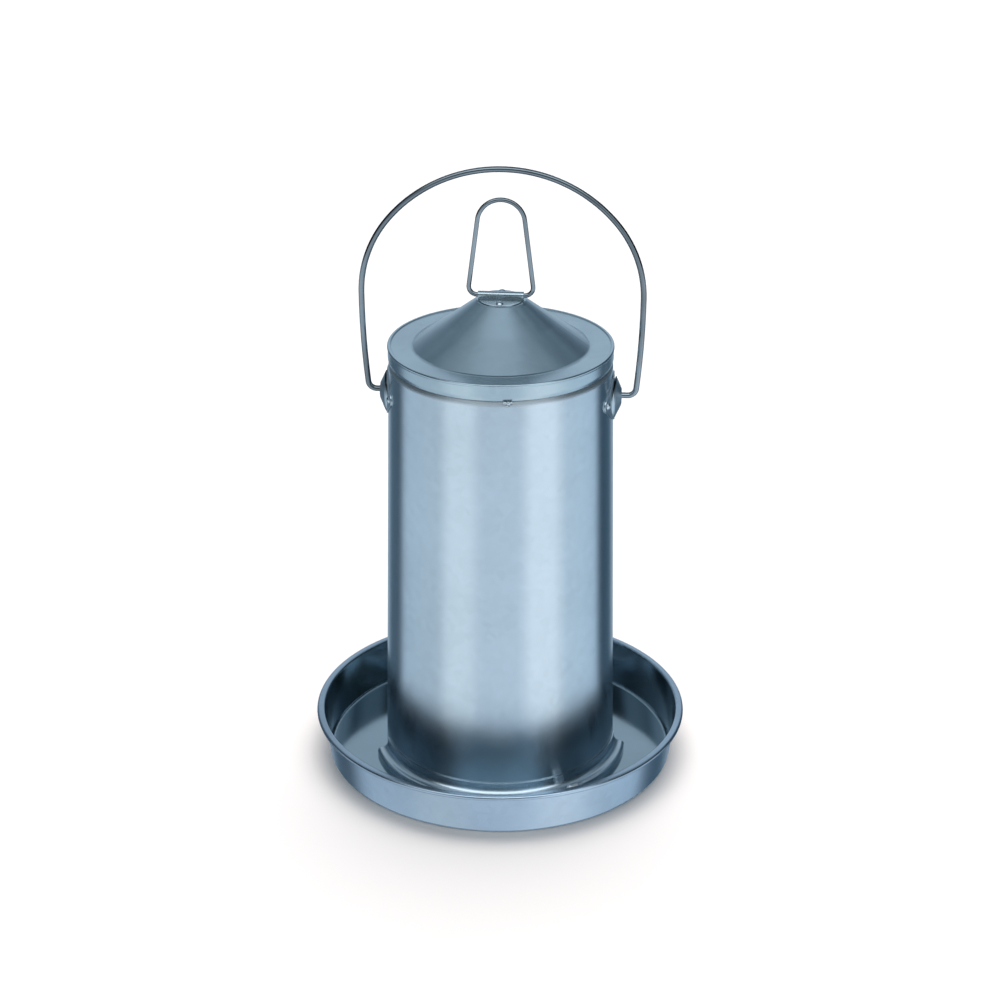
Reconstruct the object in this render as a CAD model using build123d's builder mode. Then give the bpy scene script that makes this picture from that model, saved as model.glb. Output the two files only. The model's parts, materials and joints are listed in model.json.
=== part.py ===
from build123d import *
import os
from math import cos, degrees, radians, sin, tan

# Double-cylinder poultry fount in galvanised sheet. Millimetres, +Z up, origin on the ground
# under the centre of the pan. The carrying bail's ears lie on the X axis.
# An open-topped tank stands soldered to a pan. An airtight cover slips down over the tank and
# stands with its foot in the pan's water, so water leaves the tank only as the birds drink.

sheet = 0.8
fit_gap = 0.05

# Pan
pan_rim_radius = 138.8
pan_height = 35.2
pan_base_radius = 129.2
pan_corner_radius = 3.0
pan_roll_width = 6.0
pan_roll_height = 3.6
pan_wire_radius = 0.9

# Tank
tank_radius = 70.0
tank_top = 290.8
tank_bead_radius = 1.8
tank_wire_radius = 0.95
outlet_radius = 4.0
outlet_height = 14.0
tank_foot_reach = 7.0
tank_foot_rise = 6.0
solder_leg = 1.2

# Oblong studs on the pan floor that keep the cover central
stud_length = 10.4
stud_width = 5.6
stud_height = 11.2
stud_crown = 2.6
stud_circle = 98.2
stud_bearings = (37.3, 217.3)

# Cover wall, drawn in slightly towards the cap and necked to go inside the cap's skirt
cover_foot_radius = 86.2
cover_foot = 5.7
cover_shoulder_radius = 80.1
cover_shoulder = 311.4
cover_neck_radius = 78.5
cover_neck = 313.4
cover_top = 323.8
seam_width = 9.0
seam_rise = 0.8
notch_width = 18.0
notch_top = 12.5
notch_corner = 4.0
notch_bearings = (95.0, -95.0)

# Flange round the cover's foot, in two sectors
flange_radius = 94.0
flange_collar_rise = 9.0
flange_flare = 6.0
flange_lip_foot = 0.9
front_flange_bearings = (-73.0, 88.0)
rear_flange_bearings = (125.0, 235.0)

# Cap
apex_height = 359.2
plateau_radius = 17.4
cone_waist_radius = 38.0
cone_waist_height = 343.5
cone_foot_radius = 63.6
ledge_height = 325.2
cap_edge_radius = 80.8
cap_edge_rise = 0.8
skirt_radius = 80.4
skirt_height = 11.3
skirt_curl = 0.9
skirt_curl_height = 2.6

# Solder on the cap
tack_bearings = (7.7, 127.7, 247.7)
tack_width = 5.6
tack_drop = 4.6
tack_rise = 1.3

# Lifting loop and its strap
loop_wire_radius = 1.65
loop_axis_height = 362.1
loop_corner_radius = 6.0
loop_corner_start = 16.7
loop_lean = 7.2
loop_top = 431.8
loop_end_gap = 4.0
strap_radius = 16.2
strap_sheet = 1.0

# Carrying bail and its ears
bail_wire_radius = 2.1
bail_axis_height = 288.8
bail_half_width = 99.6
bail_top_arc = 104.0
bail_side_arc = 85.0
bail_leg_arc = 648.0
bail_corner_radius = 6.0
bail_top_turn = 50.0
bail_leg_turn = 6.0
bail_end = 82.7
bail_side_play = 0.8
bail_head_radius = 3.4
bail_head_length = 1.4
ear_sheet = 1.0
ear_lobe_radius = 17.5
ear_tab_radius = 5.2
ear_tab_rise = 1.2
ear_rivet_bearing = 17.5
ear_hood_tip = 86.6
ear_hood_radius = 16.3
ear_hood_rise = -0.8
ear_hood_shoulder = 81.7
ear_hood_flat = 5.6
ear_mouth_foot = 1.5
ear_mouth_gap = 2.4
ear_rivet_height = bail_axis_height + ear_tab_rise

# Rivets, washers and running fits
running_gap = 0.08
rivet_radius = 1.6
rivet_head_radius = 2.8
rivet_head_height = 1.8
head_lift = 0.06
rivet_tail_radius = 2.4
rivet_tail_height = 1.0
washer_radius = 3.6
washer_height = 1.0
washer_gap = 0.3


def cover_radius(height):
    """Outer radius of the cover's wall at a height below its neck."""
    drawn_in = (cover_foot_radius - cover_shoulder_radius) / (cover_shoulder - cover_foot)
    return cover_foot_radius - drawn_in * (height - cover_foot)


def meridian(bearing):
    """Upright plane through the centre line. Bearing 0 faces -Y and 90 faces +X."""
    turn = radians(bearing - 90)
    return Plane(origin=(0, 0, 0), x_dir=(cos(turn), sin(turn), 0), z_dir=(sin(turn), -cos(turn), 0))


def outward(bearing, distance, height):
    """Plane that faces outwards at a bearing, with its x level and its y upwards."""
    turn = radians(bearing - 90)
    out = (cos(turn), sin(turn), 0)
    return Plane(
        origin=(distance * out[0], distance * out[1], height),
        x_dir=(-sin(turn), cos(turn), 0),
        z_dir=out,
    )


def ring(radius, height, wire_radius):
    """A round wire bent into a closed ring."""
    with BuildPart() as made:
        with BuildSketch(Plane.XZ):
            with Locations((radius, height)):
                Circle(wire_radius)
        revolve(axis=Axis.Z)
    return made.part


def rivet(seat, grip):
    """Domed rivet: the head stands on the seat plane, the tail is set a grip length below it."""
    shank = grip + fit_gap
    with BuildPart() as made:
        with BuildSketch(Plane.XZ):
            with BuildLine():
                Polyline(
                    (rivet_head_radius, head_lift),
                    (rivet_radius, head_lift),
                    (rivet_radius, -shank),
                    (rivet_tail_radius, -shank),
                    (rivet_tail_radius, -shank - rivet_tail_height),
                    (0, -shank - rivet_tail_height),
                    (0, rivet_head_height),
                )
                TangentArc((0, rivet_head_height), (rivet_head_radius, head_lift), tangent=(1, 0))
            make_face()
        revolve(axis=Axis.Z)
    return seat.location * made.part


def washer(seat):
    """Flat washer whose outer face lies on the seat plane."""
    with BuildPart() as made:
        with BuildSketch(Plane.XY.offset(-washer_height)):
            Circle(washer_radius)
            Circle(rivet_radius + fit_gap, mode=Mode.SUBTRACT)
        extrude(amount=washer_height)
    return seat.location * made.part


def save(piece, name):
    """Labels a finished piece and writes it."""
    piece.label = name
    export_step(piece, f"parts/{name}.step")


os.makedirs("parts", exist_ok=True)

# ---------------------------------------------------------------- pan and tank

# The pan: a shallow dish whose rim is rolled outwards over a wire
roll_centre = (pan_rim_radius - pan_roll_width / 2, pan_height - pan_roll_height / 2)
with BuildPart() as pan:
    with BuildSketch(Plane.XZ):
        with BuildLine():
            FilletPolyline(
                (0, 0),
                (pan_base_radius, 0),
                (pan_rim_radius - pan_roll_width + sheet, roll_centre[1]),
                radius=pan_corner_radius,
            )
            offset(amount=sheet, side=Side.LEFT)
        make_face()
        with Locations(roll_centre):
            SlotOverall(pan_roll_width, pan_roll_height)
            SlotOverall(pan_roll_width - 2 * sheet, pan_roll_height - 2 * sheet, mode=Mode.SUBTRACT)
    revolve(axis=Axis.Z)
save(pan.part, "pan")

pan_rim_wire = ring(pan_rim_radius - pan_roll_height / 2, roll_centre[1], pan_wire_radius)
save(pan_rim_wire, "pan_rim_wire")

# The tank: open at the top, with one outlet near its foot
tank_bead_centre = (tank_radius - sheet + tank_bead_radius, tank_top - tank_bead_radius)
with BuildPart() as inner_tank:
    with BuildSketch(Plane.XZ):
        with BuildLine():
            Polyline(
                (tank_radius - sheet, sheet),
                (tank_radius, sheet),
                (tank_radius, tank_bead_centre[1]),
                (tank_radius - sheet, tank_bead_centre[1]),
                close=True,
            )
        make_face()
        with Locations(tank_bead_centre):
            Circle(tank_bead_radius)
            Circle(tank_bead_radius - sheet, mode=Mode.SUBTRACT)
    revolve(axis=Axis.Z)
    with BuildSketch(outward(notch_bearings[0], tank_radius / 2, outlet_height)):
        Circle(outlet_radius)
    extrude(amount=tank_radius, mode=Mode.SUBTRACT)
save(inner_tank.part, "inner_tank")

tank_rim_wire = ring(*tank_bead_centre, tank_wire_radius)
save(tank_rim_wire, "tank_rim_wire")

# Angle ring that stiffens the joint between the tank's foot and the pan floor
with BuildPart() as tank_foot_ring:
    with BuildSketch(Plane.XZ):
        with BuildLine():
            FilletPolyline(
                (tank_radius + fit_gap, sheet + tank_foot_rise),
                (tank_radius + fit_gap, sheet + fit_gap),
                (tank_radius + tank_foot_reach, sheet + fit_gap),
                radius=sheet,
            )
            offset(amount=sheet, side=Side.LEFT)
        make_face()
    revolve(axis=Axis.Z)
save(tank_foot_ring.part, "tank_foot_ring")

with BuildPart() as tank_solder_ring:
    solder_start = tank_radius + tank_foot_reach + fit_gap
    with BuildSketch(Plane.XZ):
        with BuildLine():
            Polyline(
                (solder_start, sheet + fit_gap),
                (solder_start + solder_leg, sheet + fit_gap),
                (solder_start, sheet + fit_gap + solder_leg),
                close=True,
            )
        make_face()
    revolve(axis=Axis.Z)
save(tank_solder_ring.part, "tank_solder_ring")

with BuildPart() as locating_studs:
    for bearing in stud_bearings:
        with BuildSketch(Plane(origin=(0, 0, sheet), x_dir=meridian(bearing).x_dir, z_dir=(0, 0, 1))):
            with Locations((stud_circle, 0)):
                SlotOverall(stud_length, stud_width, rotation=90)
    extrude(amount=stud_height)
    fillet(locating_studs.faces().sort_by(Axis.Z)[-2:].edges(), radius=stud_crown)
save(locating_studs.part, "locating_studs")

# ---------------------------------------------------------------- cover

# The cover's wall, with its lock seam at the back and water notches in its foot
with BuildPart() as cover_cylinder:
    with BuildSketch(Plane.XZ):
        with BuildLine():
            FilletPolyline(
                (cover_foot_radius, cover_foot),
                (cover_shoulder_radius, cover_shoulder),
                (cover_neck_radius, cover_neck),
                (cover_neck_radius, cover_top),
                radius=1.5 * sheet,
            )
            offset(amount=sheet, side=Side.LEFT)
        make_face()
    revolve(axis=Axis.Z)
    seam_foot = cover_foot + flange_collar_rise + seam_width
    seam_top = cover_shoulder - seam_width / 2
    for height in (seam_foot, seam_top):
        with BuildSketch(Plane.XY.offset(height)):
            with Locations((0, cover_radius(height) + (seam_rise - sheet / 2) / 2)):
                Rectangle(seam_width, seam_rise + sheet / 2)
    loft()
    for bearing in notch_bearings:
        with BuildSketch(outward(bearing, tank_radius, notch_top - notch_width / 2)):
            RectangleRounded(notch_width, notch_width, notch_corner)
        extrude(amount=tank_radius / 2, mode=Mode.SUBTRACT)
    for bearing in (90, -90):
        for side in (-1, 1):
            seat = outward(bearing + side * ear_rivet_bearing, tank_radius, ear_rivet_height)
            with BuildSketch(seat):
                Circle(rivet_radius + fit_gap)
            extrude(amount=tank_radius / 2, mode=Mode.SUBTRACT)
save(cover_cylinder.part, "cover_cylinder")


def foot_flange(bearings):
    """One sector of the angle ring soldered round the cover's foot."""
    inside = cover_foot_radius + fit_gap
    with BuildPart() as made:
        with BuildSketch(meridian(bearings[0])):
            with BuildLine():
                FilletPolyline(
                    (inside, cover_foot + flange_collar_rise),
                    (inside, cover_foot + fit_gap),
                    (flange_radius, cover_foot + fit_gap),
                    (flange_radius, flange_lip_foot),
                    radius=[flange_flare, 2 * sheet],
                )
                offset(amount=sheet, side=Side.LEFT)
            make_face()
        revolve(axis=Axis.Z, revolution_arc=bearings[1] - bearings[0])
    return made.part


save(foot_flange(front_flange_bearings), "foot_flange_front")
save(foot_flange(rear_flange_bearings), "foot_flange_rear")

# The cap: a cone with a flat top, a ledge round its foot, a rolled edge and a skirt
rivet_reach = strap_radius - washer_radius
skirt_foot = ledge_height - skirt_height
with BuildPart() as cap:
    with BuildSketch(Plane.XZ):
        with BuildLine():
            FilletPolyline(
                (0, apex_height),
                (plateau_radius, apex_height),
                (cone_waist_radius, cone_waist_height),
                (cone_foot_radius, ledge_height),
                (cap_edge_radius - 3.6 * cap_edge_rise, ledge_height),
                (cap_edge_radius - 2.4 * cap_edge_rise, ledge_height + cap_edge_rise),
                (cap_edge_radius, ledge_height + cap_edge_rise),
                (cap_edge_radius, ledge_height - cap_edge_rise),
                (skirt_radius, ledge_height - 2 * cap_edge_rise),
                (skirt_radius, skirt_foot + skirt_curl_height),
                (skirt_radius - skirt_curl, skirt_foot),
                radius=[1.5, 80.0, 4.0, 0.8, 0.6, 1.0, 0.6, 0.7, 5.0],
            )
            offset(amount=sheet, side=Side.RIGHT)
        make_face()
    revolve(axis=Axis.Z)
    with BuildSketch(Plane.XY.offset(apex_height - 2 * sheet)):
        with Locations((0, -rivet_reach), (0, rivet_reach)):
            Circle(rivet_radius + fit_gap)
    extrude(amount=3 * sheet, mode=Mode.SUBTRACT)
save(cap.part, "cap")

# Small solder tacks under the skirt, and the airtight solder fillet inside
with BuildPart() as cap_solder_tacks:
    for bearing in tack_bearings:
        spread = degrees(tack_width / skirt_radius)
        with BuildSketch(meridian(bearing - spread / 2)):
            with BuildLine():
                Polyline(
                    (cover_radius(skirt_foot - tack_drop) + fit_gap, skirt_foot - tack_drop),
                    (cover_radius(skirt_foot - tack_drop) + tack_rise / 2, skirt_foot - tack_drop),
                    (skirt_radius + tack_rise / 2, skirt_foot - tack_rise),
                    (skirt_radius + tack_rise / 2, skirt_foot - fit_gap),
                    (cover_radius(skirt_foot) + fit_gap, skirt_foot - fit_gap),
                    close=True,
                )
            make_face()
        revolve(axis=Axis.Z, revolution_arc=spread)
save(cap_solder_tacks.part, "cap_solder_tacks")

with BuildPart() as cap_solder_ring:
    corner_radius = cover_neck_radius - sheet - fit_gap
    corner_height = ledge_height - sheet - fit_gap
    with BuildSketch(Plane.XZ):
        with BuildLine():
            Polyline(
                (corner_radius, corner_height - 2 * solder_leg),
                (corner_radius, corner_height),
                (corner_radius - 2 * solder_leg, corner_height),
                close=True,
            )
        make_face()
    revolve(axis=Axis.Z)
save(cap_solder_ring.part, "cap_solder_ring")

# ---------------------------------------------------------------- lifting loop

# Round strap on the cap's flat top, with a raised channel that holds the loop's ends
channel_radius = loop_wire_radius + running_gap
with BuildPart() as handle_strap:
    with BuildSketch(Plane.YZ.offset(-strap_radius)):
        with Locations((0, apex_height + (strap_sheet + fit_gap) / 2)):
            Rectangle(2 * strap_radius, strap_sheet - fit_gap)
        with Locations((0, loop_axis_height)):
            Circle(channel_radius + strap_sheet)
        with Locations((0, (apex_height + fit_gap + loop_axis_height) / 2)):
            Rectangle(2 * (channel_radius + strap_sheet), loop_axis_height - apex_height - fit_gap)
        with Locations((0, loop_axis_height)):
            Circle(channel_radius, mode=Mode.SUBTRACT)
        with Locations((0, (apex_height + loop_axis_height) / 2)):
            Rectangle(2 * channel_radius, loop_axis_height - apex_height, mode=Mode.SUBTRACT)
    extrude(amount=2 * strap_radius)
    with BuildSketch(Plane.XY.offset(apex_height)):
        Circle(strap_radius)
    extrude(amount=loop_axis_height, mode=Mode.INTERSECT)
    with BuildSketch(Plane.XY.offset(apex_height - sheet)):
        with Locations((0, -rivet_reach), (0, rivet_reach)):
            Circle(rivet_radius + fit_gap)
    extrude(amount=3 * sheet, mode=Mode.SUBTRACT)
save(handle_strap.part, "handle_strap")

strap_seats = [Plane((0, side * rivet_reach, apex_height + strap_sheet)) for side in (-1, 1)]
strap_grip = strap_sheet + sheet + washer_height + fit_gap
strap_rivets = Compound(children=[rivet(seat, strap_grip) for seat in strap_seats])
save(strap_rivets, "strap_rivets")

strap_washers = Compound(
    children=[washer(seat.offset(-strap_sheet - sheet - fit_gap)) for seat in strap_seats]
)
save(strap_washers, "strap_washers")

# The loop: one wire, its two ends turned in under the strap
lean = radians(loop_lean)
shoulder_x = loop_corner_start + loop_corner_radius * cos(lean)
shoulder_z = loop_axis_height + loop_corner_radius * (1 + sin(lean))
crown_radius = (shoulder_x - tan(lean) * (loop_top - shoulder_z)) * cos(lean) / (1 - sin(lean))
leg_height = loop_top - crown_radius * (1 - sin(lean)) - shoulder_z
with BuildPart() as loop_handle:
    with BuildLine(Plane.XZ):
        inner_end = Line((loop_end_gap / 2, loop_axis_height), (loop_corner_start, loop_axis_height))
        corner = JernArc(inner_end @ 1, inner_end % 1, loop_corner_radius, 90 + loop_lean)
        leg = Line(corner @ 1, corner @ 1 + (corner % 1) * leg_height / cos(lean))
        crown = JernArc(leg @ 1, leg % 1, crown_radius, 180 - 2 * loop_lean)
        far_leg = Line(crown @ 1, crown @ 1 + (crown % 1) * leg_height / cos(lean))
        far_corner = JernArc(far_leg @ 1, far_leg % 1, loop_corner_radius, 90 + loop_lean)
        Line(far_corner @ 1, far_corner @ 1 + (far_corner % 1) * inner_end.length)
    with BuildSketch(Plane(origin=inner_end @ 0, z_dir=inner_end % 0)):
        Circle(loop_wire_radius)
    sweep()
save(loop_handle.part, "loop_handle")

# ---------------------------------------------------------------- carrying bail

# Pressed ear: a curved plate with a hollow hood, open at the top, for the bail's end
ear_bearing = -90
seat = outward(ear_bearing, 0, bail_axis_height)
low = bail_axis_height - ear_lobe_radius - ear_sheet
high = bail_axis_height + ear_lobe_radius + ear_sheet
half_arc = ear_rivet_bearing + 8
tab_reach = cover_radius(bail_axis_height) * sin(radians(ear_rivet_bearing))
hood_seat = outward(ear_bearing, 0, bail_axis_height + ear_hood_rise)
hood_foot = cover_shoulder_radius - 3 * ear_sheet
side_view = Plane(origin=hood_seat.origin, x_dir=seat.z_dir, z_dir=-seat.x_dir)
skin = 2 * fit_gap + ear_sheet
mouth_foot = bail_axis_height + ear_mouth_foot
with BuildPart() as ear_left:
    # The plate follows the cover's wall
    with BuildSketch(meridian(ear_bearing - half_arc)):
        with BuildLine():
            Polyline(
                (cover_radius(low) + fit_gap, low),
                (cover_radius(low) + fit_gap + ear_sheet, low),
                (cover_radius(high) + fit_gap + ear_sheet, high),
                (cover_radius(high) + fit_gap, high),
                close=True,
            )
        make_face()
    revolve(axis=Axis.Z, revolution_arc=2 * half_arc)
    # Its outline is a broad lobe with a tab at each side for a rivet
    with BuildSketch(seat):
        Circle(ear_lobe_radius)
        with Locations((-tab_reach, ear_tab_rise), (tab_reach, ear_tab_rise)):
            Circle(ear_tab_radius)
        make_hull()
    extrude(amount=flange_radius, mode=Mode.INTERSECT)
    # The hood is a hollow cone with a flat tip
    with BuildSketch(hood_seat.offset(hood_foot)):
        Circle(ear_hood_radius - ear_sheet)
    extrude(amount=flange_radius - hood_foot, mode=Mode.SUBTRACT)
    with BuildSketch(side_view):
        with BuildLine():
            FilletPolyline(
                (hood_foot, ear_hood_radius),
                (ear_hood_shoulder, ear_hood_radius),
                (ear_hood_tip, ear_hood_flat),
                (ear_hood_tip, 0),
                radius=[3 * ear_sheet, 2.5 * ear_sheet],
            )
            offset(amount=ear_sheet, side=Side.RIGHT)
        make_face()
    revolve(axis=Axis(hood_seat.origin, hood_seat.z_dir))
    # Nothing of it lies inside the wall
    with BuildSketch(meridian(ear_bearing - 2 * half_arc)):
        with BuildLine():
            Polyline(
                (tank_radius, low),
                (cover_radius(low) + fit_gap / 2, low),
                (cover_radius(high) + fit_gap / 2, high),
                (tank_radius, high),
                close=True,
            )
        make_face()
    revolve(axis=Axis.Z, revolution_arc=4 * half_arc, mode=Mode.SUBTRACT)
    # A slit frees the hood's upper half from the plate, widest at the top
    with BuildSketch(meridian(ear_bearing - half_arc)):
        with BuildLine():
            Polyline(
                (cover_radius(mouth_foot) + skin, mouth_foot),
                (cover_radius(high) + skin + ear_mouth_gap, high),
                (cover_radius(high) + skin, high),
                close=True,
            )
        make_face()
    revolve(axis=Axis.Z, revolution_arc=2 * half_arc, mode=Mode.SUBTRACT)
    # Holes for the bail and for the two rivets
    with BuildSketch(seat):
        Circle(bail_wire_radius + running_gap)
    extrude(amount=flange_radius, mode=Mode.SUBTRACT)
    for side in (-1, 1):
        with BuildSketch(outward(ear_bearing + side * ear_rivet_bearing, 0, ear_rivet_height)):
            Circle(rivet_radius + fit_gap)
        extrude(amount=flange_radius, mode=Mode.SUBTRACT)
save(ear_left.part, "ear_left")

ear_right = mirror(ear_left.part, about=Plane.YZ)
save(ear_right, "ear_right")


def ear_fixings(bearing):
    """The two rivets of an ear, and the washers that they are set over inside the cover."""
    wall = cover_radius(ear_rivet_height)
    washer_face = wall - sheet - washer_gap
    head_seat = wall + fit_gap + ear_sheet
    bearings = [bearing + side * ear_rivet_bearing for side in (-1, 1)]
    grip = head_seat - washer_face + washer_height
    rivets = [rivet(outward(b, head_seat, ear_rivet_height), grip) for b in bearings]
    washers = [washer(outward(b, washer_face, ear_rivet_height)) for b in bearings]
    return Compound(children=rivets), Compound(children=washers)


for name, bearing in (("left", -90), ("right", 90)):
    rivets, washers = ear_fixings(bearing)
    save(rivets, f"ear_rivets_{name}")
    save(washers, f"ear_washers_{name}")

# The bail: one wire from ear to ear, with an upset head inside each hood
side_turn = 90 - bail_top_turn
leg_turn = radians(bail_leg_turn)
top_turn = radians(bail_top_turn)
reach = bail_half_width - bail_leg_arc * (1 - cos(leg_turn)) - bail_corner_radius * cos(leg_turn)
crown_arc = (bail_half_width - bail_side_arc * (1 - sin(top_turn))) / sin(top_turn)
with BuildPart() as bail:
    with BuildLine(Plane(origin=(bail_side_play, 0, 0), x_dir=(1, 0, 0), z_dir=(0, -1, 0))):
        stub = Line((bail_end, bail_axis_height), (reach, bail_axis_height))
        near_corner = JernArc(stub @ 1, stub % 1, bail_corner_radius, 90 - bail_leg_turn)
        near_leg = JernArc(near_corner @ 1, near_corner % 1, bail_leg_arc, bail_leg_turn)
        near_side = JernArc(near_leg @ 1, near_leg % 1, bail_side_arc, side_turn)
        top = JernArc(near_side @ 1, near_side % 1, crown_arc, 2 * bail_top_turn)
        far_side = JernArc(top @ 1, top % 1, bail_side_arc, side_turn)
        far_leg = JernArc(far_side @ 1, far_side % 1, bail_leg_arc, bail_leg_turn)
        far_corner = JernArc(far_leg @ 1, far_leg % 1, bail_corner_radius, 90 - bail_leg_turn)
        Line(far_corner @ 1, far_corner @ 1 + (far_corner % 1) * stub.length)
    with BuildSketch(Plane(origin=stub @ 0, z_dir=stub % 0)):
        Circle(bail_wire_radius)
    sweep()
    for bearing, head_seat in ((-90, bail_end - bail_side_play), (90, bail_end + bail_side_play)):
        with BuildSketch(outward(bearing, head_seat, bail_axis_height)):
            Circle(bail_head_radius)
        extrude(amount=bail_head_length)
save(bail.part, "bail")
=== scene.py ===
"""Galvanised double-cylinder poultry fount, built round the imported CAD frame."""
import json
import math
import random

import bmesh
import bpy
from mathutils import Matrix, Vector


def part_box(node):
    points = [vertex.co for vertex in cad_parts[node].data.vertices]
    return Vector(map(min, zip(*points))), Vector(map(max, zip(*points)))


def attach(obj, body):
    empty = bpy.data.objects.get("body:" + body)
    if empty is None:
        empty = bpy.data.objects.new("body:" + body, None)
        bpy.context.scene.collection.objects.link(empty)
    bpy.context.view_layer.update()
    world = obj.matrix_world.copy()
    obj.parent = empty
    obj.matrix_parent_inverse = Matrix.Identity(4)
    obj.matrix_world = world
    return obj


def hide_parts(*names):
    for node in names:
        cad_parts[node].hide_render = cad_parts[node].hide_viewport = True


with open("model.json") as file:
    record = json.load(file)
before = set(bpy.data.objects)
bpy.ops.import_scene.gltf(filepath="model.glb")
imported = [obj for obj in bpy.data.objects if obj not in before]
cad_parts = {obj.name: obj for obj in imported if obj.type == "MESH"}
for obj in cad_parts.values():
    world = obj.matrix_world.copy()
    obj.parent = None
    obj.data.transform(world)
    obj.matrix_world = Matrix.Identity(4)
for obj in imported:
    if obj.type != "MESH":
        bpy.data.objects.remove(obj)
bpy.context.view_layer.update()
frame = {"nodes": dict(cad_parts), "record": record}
nodes = frame["nodes"]
TAU = 2 * math.pi
MM = 0.001


# ------------------------------------------------------------------ node helpers

class Tree:
    """Short calls for building a node tree."""

    def __init__(self, tree):
        self.tree = tree

    def add(self, kind, inputs=None, **settings):
        node = self.tree.nodes.new(kind)
        for name, value in settings.items():
            setattr(node, name, value)
        for name, value in (inputs or {}).items():
            socket = node.inputs[name]
            if isinstance(value, bpy.types.NodeSocket):
                self.tree.links.new(value, socket)
            else:
                socket.default_value = value
        return node

    def math(self, operation, *values, clamp=False):
        node = self.tree.nodes.new("ShaderNodeMath")
        node.operation = operation
        node.use_clamp = clamp
        for socket, value in zip(node.inputs, values):
            if isinstance(value, bpy.types.NodeSocket):
                self.tree.links.new(value, socket)
            else:
                socket.default_value = value
        return node.outputs[0]

    def product(self, first, *others):
        for other in others:
            first = self.math("MULTIPLY", first, other)
        return first

    def mix(self, factor, first, second, blend="MIX"):
        node = self.tree.nodes.new("ShaderNodeMix")
        node.data_type = "RGBA"
        node.blend_type = blend
        for socket, value in ((node.inputs[0], factor), (node.inputs[6], first), (node.inputs[7], second)):
            if isinstance(value, bpy.types.NodeSocket):
                self.tree.links.new(value, socket)
            else:
                socket.default_value = value
        return node.outputs[2]

    def noise(self, vector, scale, detail, roughness):
        node = self.add("ShaderNodeTexNoise", {"Vector": vector, "Scale": scale, "Detail": detail,
                                               "Roughness": roughness})
        return node.outputs["Fac"]

    def ramp(self, value, stops):
        """A colour ramp whose stops are (place, colour) pairs."""
        node = self.add("ShaderNodeValToRGB", {"Fac": value})
        elements = node.color_ramp.elements
        while len(elements) < len(stops):
            elements.new(0.5)
        for element, (place, colour) in zip(elements, stops):
            element.position = place
            element.color = (*colour, 1)
        return node.outputs["Color"]

    def stretch(self, value, low, high, out_low, out_high):
        node = self.add("ShaderNodeMapRange", {"Value": value, "From Min": low, "From Max": high,
                                               "To Min": out_low, "To Max": out_high})
        return node.outputs["Result"]


# ------------------------------------------------------------------ materials

def steel(name, tint, roughness, wave=0.12, grain=0.12, spangle=0.05, grime=0.06, drift=0.10, painted_shade=None,
          rolled=0.0):
    """Galvanised steel: zinc spangle, slow colour drift, faint rolling lines and a waxy film.

    If given, the painted-shade entry holds a mask's function, the zinc colour painted under that
    mask to stand in for shade, and how much rougher it is there. rolled is how much more the
    sheet blurs a reflection up and down than sideways.
    """
    made = bpy.data.materials.new(name)
    made.use_nodes = True
    made.node_tree.nodes.clear()
    t = Tree(made.node_tree)
    place = t.add("ShaderNodeTexCoord").outputs["Object"]
    cloud = t.noise(place, 9.0, 3.0, 0.5)
    mottle = t.noise(place, 60.0, 3.0, 0.6)
    flakes = t.add("ShaderNodeTexVoronoi", {"Vector": place, "Scale": 170.0, "Randomness": 1.0})
    flake_tone = t.math("MULTIPLY_ADD", flakes.outputs["Color"], spangle, 1 - spangle / 2)
    dark = tuple((1 - drift) * c for c in tint) + (1,)
    light = tuple(min(1.0, (1 + drift) * c) for c in tint) + (1,)
    colour = t.mix(t.stretch(cloud, 0.3, 0.7, 0, 1), dark, light)
    colour = t.mix(1.0, colour, t.add("ShaderNodeCombineColor", {
        "Red": flake_tone, "Green": flake_tone, "Blue": flake_tone}).outputs[0], "MULTIPLY")
    film = t.stretch(t.noise(place, 22.0, 5.0, 0.65), 0.45, 0.8, 0, grime)
    colour = t.mix(film, colour, (0.34, 0.36, 0.37, 1))
    rough = t.math("ADD", roughness - 0.03, t.math("MULTIPLY", mottle, 0.06))
    rough = t.math("ADD", rough, t.math("MULTIPLY", film, 0.35))
    # Painted shade: under the mask the zinc's colour is swapped for one that stands in for shade, and its
    # roughness changes.
    if painted_shade:
        mask, shade_colour, shade_roughness = painted_shade
        patches = t.stretch(t.noise(place, 30.0, 4.0, 0.6), 0.3, 0.7, 0.75, 1.0)
        patchy = t.math("MULTIPLY", mask(t, place), patches)
        colour = t.mix(patchy, colour, (*shade_colour, 1))
        rough = t.math("ADD", rough, t.math("MULTIPLY", patchy, shade_roughness))
    waves = t.add("ShaderNodeBump", {"Strength": wave, "Distance": 0.0012,
                                     "Height": t.noise(place, 14.0, 1.5, 0.4)})
    lines = t.add("ShaderNodeBump", {"Strength": grain, "Distance": 0.00006,
                                     "Height": t.noise(place, 900.0, 2.0, 0.5),
                                     "Normal": waves.outputs[0]})
    around = t.add("ShaderNodeTangent", direction_type="RADIAL", axis="Z")
    shader = t.add("ShaderNodeBsdfPrincipled", {"Base Color": colour, "Metallic": 1.0, "Roughness": rough,
                                                "Anisotropic": rolled, "Anisotropic Rotation": 0.25,
                                                "Normal": lines.outputs[0],
                                                "Tangent": around.outputs[0]})
    out = t.add("ShaderNodeOutputMaterial")
    made.node_tree.links.new(shader.outputs[0], out.inputs[0])
    return made


def pan_inside_mask(t, place):
    """Where the shade is painted: 1 on the pan's floor and inner wall, 0 on its rim and outside."""
    x, y, z = t.add("ShaderNodeSeparateXYZ", {"Vector": place}).outputs
    radius = t.math("SQRT", t.math("ADD", t.math("POWER", x, 2.0), t.math("POWER", y, 2.0)))
    upright = t.math("SUBTRACT", radius, t.math("MULTIPLY", z, PAN_WALL_LEAN))
    inside = t.stretch(upright, PAN_FOOT_RADIUS - 0.6 * SHEET, PAN_FOOT_RADIUS - 0.4 * SHEET, 1, 0)
    above = t.stretch(z, 0.5 * SHEET, 0.8 * SHEET, 0, 1)
    return t.math("MULTIPLY", inside, above)


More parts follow.
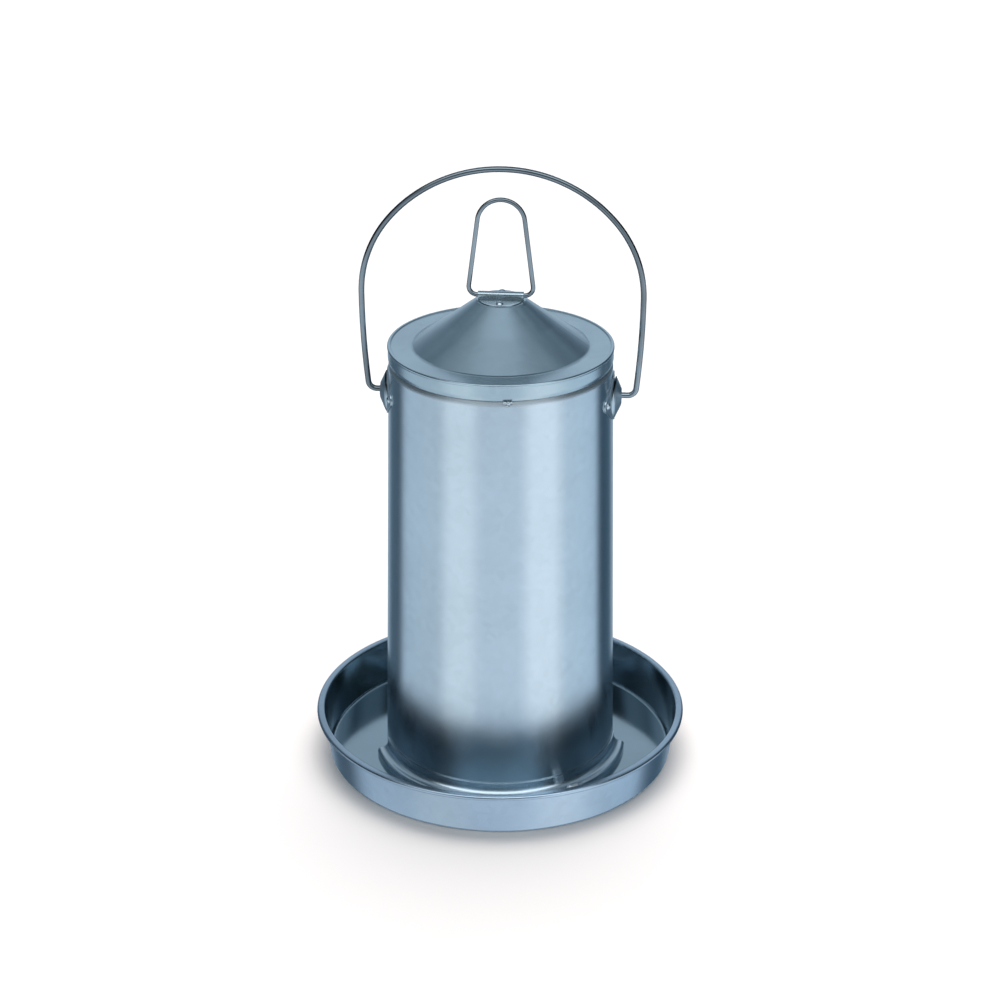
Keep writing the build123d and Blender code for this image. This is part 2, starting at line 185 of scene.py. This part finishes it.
def soldered_neck(t, place):
    """Where the neck's tone is painted: 1 on the cover's neck and shoulder, under the cap's skirt."""
    z = t.add("ShaderNodeSeparateXYZ", {"Vector": place}).outputs[2]
    return t.stretch(z, COVER_SHOULDER - 2 * MM, COVER_SHOULDER, 0, 1)


COVER_NECK_HEIGHT = 12.6 * MM
COVER_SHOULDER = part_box("cover_cylinder")[1].z - COVER_NECK_HEIGHT
SHEET = 0.8 * MM
PAN_RIM_REACH = 9.6 * MM
PAN_FOOT_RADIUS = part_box("pan")[1].x - PAN_RIM_REACH
PAN_WALL_LEAN = 0.132
# Painted shade inside the pan: a darker zinc on the floor and inner wall makes the hollow read dark. The
# zinc is also glossier there.
PAN_INSIDE_SHADE = (pan_inside_mask, (0.36, 0.45, 0.50), -0.14)
# Painted tone at the neck: a lighter zinc with a much rougher finish under the skirt turns the shoulder's
# bright reflected line into a soft mid-tone shade.
NECK_SHADE_TONE = (soldered_neck, (0.72, 0.76, 0.78), 0.45)
cover_steel = steel("cover_steel", (0.63, 0.71, 0.77), 0.21, wave=0.05, drift=0.05,
                    painted_shade=NECK_SHADE_TONE, rolled=0.9)
cap_steel = steel("cap_steel", (0.52, 0.62, 0.67), 0.24, wave=0.12, grain=0.08, grime=0.05)
strap_steel = steel("strap_steel", (0.52, 0.59, 0.63), 0.26, wave=0.2)
ear_steel = steel("ear_steel", (0.50, 0.58, 0.63), 0.36, wave=0.3)
pan_steel = steel("pan_steel", (0.46, 0.55, 0.64), 0.25, wave=0.3, grain=0.03, drift=0.18,
                  painted_shade=PAN_INSIDE_SHADE)
tank_steel = steel("tank_steel", (0.46, 0.50, 0.54), 0.36)
wire_steel = steel("wire_steel", (0.25, 0.28, 0.30), 0.06, wave=0.1, spangle=0.1, drift=0.5)
rivet_steel = steel("rivet_steel", (0.62, 0.69, 0.74), 0.27, wave=0.2)
solder_metal = steel("solder_metal", (0.74, 0.78, 0.80), 0.28, wave=0.6, grain=0.6)
stud_metal = steel("stud_metal", (0.66, 0.71, 0.74), 0.42, wave=0.4)
slot_material = {
    "cover_sheet": cover_steel, "pan_sheet": pan_steel, "tank_sheet": tank_steel,
    "wire": wire_steel, "rivet_metal": rivet_steel, "solder": solder_metal,
}
node_material = {
    "cap": cap_steel, "handle_strap": strap_steel, "ear_left": ear_steel, "ear_right": ear_steel,
    "locating_studs": stud_metal,
}
SHARP_ANGLE = math.radians(32)


def dress(obj, material):
    obj.data.materials.clear()
    obj.data.materials.append(material)


for entry in frame["record"]["subparts"]:
    obj = nodes[entry["node"]]
    dress(obj, node_material.get(entry["node"], slot_material[entry["material_slot"]]))
    for face in obj.data.polygons:
        face.use_smooth = True
    obj.data.set_sharp_from_angle(angle=SHARP_ANGLE)


# ------------------------------------------------------------------ pieces made here

def lump(mesh, centre, size, rng):
    """One frozen drop of solder: a squashed ball whose skin is pulled about."""
    made = bmesh.ops.create_icosphere(mesh, subdivisions=3, radius=1.0)
    pulls = []
    for _ in range(7):
        way = Vector((rng.gauss(0, 1), rng.gauss(0, 1), rng.gauss(0, 1))).normalized()
        pulls.append((way, rng.uniform(-0.22, 0.22)))
    for vert in made["verts"]:
        way = vert.co.normalized()
        swell = 1 + sum(amount * max(0.0, way.dot(pull)) ** 3 for pull, amount in pulls)
        vert.co = centre + Matrix.Diagonal(size) @ (way * swell)


def solder_tacks():
    """Small irregular lumps of solder that bridge the cap's skirt and the cover's wall."""
    rng = random.Random(11)
    low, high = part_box("cap_solder_tacks")
    tilt = math.radians(TACK_BEARING)
    reach = -low.y / math.cos(tilt) - TACK_SINK
    mesh = bmesh.new()
    for third in range(3):
        turn = tilt + third * TAU / 3
        frame_turn = Matrix.Rotation(turn, 3, "Z")
        for along, rise, wide, tall in TACK_LUMPS:
            start = len(mesh.verts)
            jog = rng.uniform(-0.4, 0.4) * MM
            centre = Vector((along * MM + jog, -reach, high.z + rise * MM))
            lump(mesh, centre, Vector((wide, 0.75, tall)) * MM, rng)
            mesh.verts.ensure_lookup_table()
            for vert in mesh.verts[start:]:
                vert.co = frame_turn @ vert.co
    data = bpy.data.meshes.new("solder_tack_lumps")
    mesh.to_mesh(data)
    mesh.free()
    for face in data.polygons:
        face.use_smooth = True
    made = bpy.data.objects.new("solder_tack_lumps", data)
    bpy.context.scene.collection.objects.link(made)
    dress(made, solder_metal)
    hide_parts("cap_solder_tacks")
    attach(made, "cover")


TACK_BEARING = 7.7
TACK_SINK = 0.8 * MM
TACK_LUMPS = [(-2.2, -0.9, 1.7, 1.0), (0.2, -1.5, 1.3, 1.3), (1.9, -0.8, 1.2, 0.8), (0.6, -4.1, 0.9, 0.8),
              (-0.9, -3.1, 0.8, 0.7)]
solder_tacks()


# ------------------------------------------------------------------ studio

# Each list goes once round the horizon: degrees from the front, and a colour. The low walls lie below
# the horizon, where upright metal looks, and the high walls above it, where level metal looks.
LOW_WALLS = [
    (-180, (0.48, 0.54, 0.60)),
    (-160, (0.42, 0.48, 0.54)),
    (-148, (0.10, 0.15, 0.19)),
    (-124, (0.09, 0.12, 0.15)),
    (-112, (0.60, 0.66, 0.72)),
    (-66, (0.70, 0.74, 0.78)),
    (-54, (0.98, 0.98, 0.98)),
    (-32, (0.98, 0.98, 0.98)),
    (-18, (0.80, 0.83, 0.88)),
    (18, (0.82, 0.85, 0.90)),
    (32, (1.08, 1.06, 1.06)),
    (56, (1.08, 1.06, 1.06)),
    (70, (0.78, 0.83, 0.88)),
    (110, (0.64, 0.72, 0.80)),
    (122, (0.06, 0.09, 0.12)),
    (146, (0.07, 0.12, 0.16)),
    (160, (0.42, 0.48, 0.54)),
    (180, (0.48, 0.54, 0.60)),
]
HIGH_WALLS = [
    (-180, (0.58, 0.63, 0.68)),
    (-164, (0.50, 0.56, 0.62)),
    (-150, (0.22, 0.26, 0.30)),
    (-130, (0.10, 0.13, 0.15)),
    (-100, (0.03, 0.04, 0.05)),
    (-60, (0.02, 0.03, 0.03)),
    (-50, (0.60, 0.63, 0.67)),
    (-34, (0.60, 0.63, 0.67)),
    (-22, (0.13, 0.15, 0.15)),
    (20, (0.15, 0.17, 0.17)),
    (32, (0.95, 0.99, 1.03)),
    (52, (0.95, 0.99, 1.03)),
    (64, (0.02, 0.03, 0.03)),
    (110, (0.02, 0.03, 0.03)),
    (135, (0.04, 0.06, 0.08)),
    (152, (0.16, 0.20, 0.24)),
    (164, (0.50, 0.56, 0.62)),
    (180, (0.58, 0.63, 0.68)),
]
# What the flanks of the cap's cone look at
CONE_SKY = [
    (-180, (0.40, 0.44, 0.48)),
    (-146, (0.36, 0.41, 0.45)),
    (-131, (0.17, 0.21, 0.24)),
    (-118, (0.24, 0.28, 0.31)),
    (114, (0.22, 0.26, 0.29)),
    (128, (0.10, 0.13, 0.16)),
    (142, (0.32, 0.37, 0.41)),
    (180, (0.40, 0.44, 0.48)),
]
# From left to right across the ceiling
CEILING = [
    (0.0, (0.38, 0.42, 0.45)),
    (0.4, (0.48, 0.52, 0.56)),
    (0.65, (0.48, 0.52, 0.56)),
    (1.0, (0.30, 0.34, 0.38)),
]
STUDIO_TURN = math.radians(4.1)
BACK_GLOW = 0.5
GAP_TONE = (0.06, 0.08, 0.10, 1)
KEY_LIGHT = (1.7, 1.7, 1.7, 1)
WORLD_TINT = (0.88, 0.99, 1.07, 1)
WHITE = (1.0, 1.0, 1.0, 1)


def round_the_horizon(stops):
    return [(0.5 + degrees / 360, colour) for degrees, colour in stops]


def studio_world():
    """A room of soft cards, worked out from the direction of the ray and nothing else."""
    world = bpy.data.worlds.new("studio")
    world.use_nodes = True
    world.node_tree.nodes.clear()
    t = Tree(world.node_tree)
    ray = t.add("ShaderNodeTexCoord").outputs["Generated"]
    x, y, z = t.add("ShaderNodeSeparateXYZ", {"Vector": ray}).outputs
    turn = t.math("ARCTAN2", x, t.math("MULTIPLY", y, -1.0))
    around = t.math("ADD", t.math("DIVIDE", t.math("SUBTRACT", turn, STUDIO_TURN), TAU), 0.5)
    around = t.math("FRACT", t.math("ADD", around, 1.0))

    low_walls = t.ramp(around, round_the_horizon(LOW_WALLS))
    high_walls = t.ramp(around, round_the_horizon(HIGH_WALLS))
    walls = t.mix(t.stretch(z, -0.20, 0.0, 0, 1), low_walls, high_walls)

    # A glowing panel high at the back, and the cone's sky on both sides of it
    middle = t.stretch(t.math("ABSOLUTE", x), 0.30, 0.42, 1, 0)
    back_glow = t.product(t.stretch(y, 0.30, 0.55, 0, 1), middle, t.stretch(z, 0.44, 0.54, 0, 1),
                          t.stretch(z, 0.72, 0.80, 1, 0), BACK_GLOW)
    walls = t.mix(back_glow, walls, WHITE)
    behind_above = t.product(t.stretch(y, 0.06, 0.20, 0, 1), t.stretch(z, 0.46, 0.56, 0, 1))
    walls = t.mix(behind_above, walls, t.ramp(around, round_the_horizon(CONE_SKY)))

    # The ceiling, a dark gap behind it, and the key light in front of it
    ceiling = t.ramp(t.stretch(x, -0.6, 0.6, 0, 1), CEILING)
    colour = t.mix(t.stretch(z, 0.66, 0.92, 0, 1), walls, ceiling)
    back_gap = t.product(t.stretch(y, 0.10, 0.22, 0, 1), middle, t.stretch(z, 0.78, 0.84, 0, 1))
    colour = t.mix(back_gap, colour, GAP_TONE)
    key = t.product(t.stretch(y, -0.22, -0.30, 0, 1), t.stretch(z, 0.60, 0.68, 0, 1),
                    t.stretch(z, 0.94, 0.96, 1, 0))
    colour = t.mix(key, colour, KEY_LIGHT)

    colour = t.mix(1.0, colour, WORLD_TINT, "MULTIPLY")
    light = t.add("ShaderNodeBackground", {"Color": colour, "Strength": 1.0})
    out = t.add("ShaderNodeOutputWorld")
    world.node_tree.links.new(light.outputs[0], out.inputs[0])
    bpy.context.scene.world = world


FLOOR_REACH = 6.0
FLOOR_DROP = 0.2 * MM
FLOOR_COLOUR = (0.79, 0.725, 0.69, 1)


def studio_floor():
    """A matt sheet that takes the shadow. The metal doesn't mirror it."""
    paint = bpy.data.materials.new("floor_paint")
    paint.use_nodes = True
    shader = paint.node_tree.nodes["Principled BSDF"]
    shader.inputs["Base Color"].default_value = FLOOR_COLOUR
    shader.inputs["Roughness"].default_value = 0.95
    shader.inputs["Specular IOR Level"].default_value = 0.0
    corners = [(-1, -1), (1, -1), (1, 1), (-1, 1)]
    mesh = bpy.data.meshes.new("floor")
    mesh.from_pydata([(x * FLOOR_REACH, y * FLOOR_REACH, 0) for x, y in corners], [], [(0, 1, 2, 3)])
    mesh.materials.append(paint)
    floor = bpy.data.objects.new("floor", mesh)
    bpy.context.scene.collection.objects.link(floor)
    floor.location.z = -FLOOR_DROP
    floor.visible_glossy = False


def soft_sun():
    """A wide sun from a little behind, so the soft shadow falls in front."""
    data = bpy.data.lights.new("soft_sun", "SUN")
    data.energy = 3.35
    data.angle = math.radians(54)
    sun = bpy.data.objects.new("soft_sun", data)
    sun.rotation_euler = (math.radians(-19), math.radians(2), 0)
    sun.visible_glossy = False
    bpy.context.scene.collection.objects.link(sun)


studio_world()
studio_floor()
soft_sun()

# ------------------------------------------------------------------ camera

CAMERA_BEARING = math.radians(4.1)
CAMERA_ELEVATION = math.radians(24.606)
CAMERA_DISTANCE = 1.7456
AIM_HEIGHT = 0.2038
AIM_SIDE = -0.000737
CAMERA_ROLL = 0.00172
LENS = 86.0
SENSOR = 36.0

forward = Vector((-math.sin(CAMERA_BEARING) * math.cos(CAMERA_ELEVATION),
                  math.cos(CAMERA_BEARING) * math.cos(CAMERA_ELEVATION),
                  -math.sin(CAMERA_ELEVATION)))
right = Vector((math.cos(CAMERA_BEARING), math.sin(CAMERA_BEARING), 0))
up = right.cross(forward)
place = Vector((0, 0, AIM_HEIGHT)) + right * AIM_SIDE - forward * CAMERA_DISTANCE
camera_data = bpy.data.cameras.new("camera")
camera_data.lens = LENS
camera_data.sensor_width = SENSOR
camera_data.clip_start = 0.05
camera_data.clip_end = 50
camera = bpy.data.objects.new("camera", camera_data)
axes = Matrix((right, up, -forward)).transposed().to_4x4()
camera.matrix_world = Matrix.Translation(place) @ axes @ Matrix.Rotation(CAMERA_ROLL, 4, "Z")
bpy.context.scene.collection.objects.link(camera)
bpy.context.scene.camera = camera
bpy.context.scene.view_settings.view_transform = "Standard"
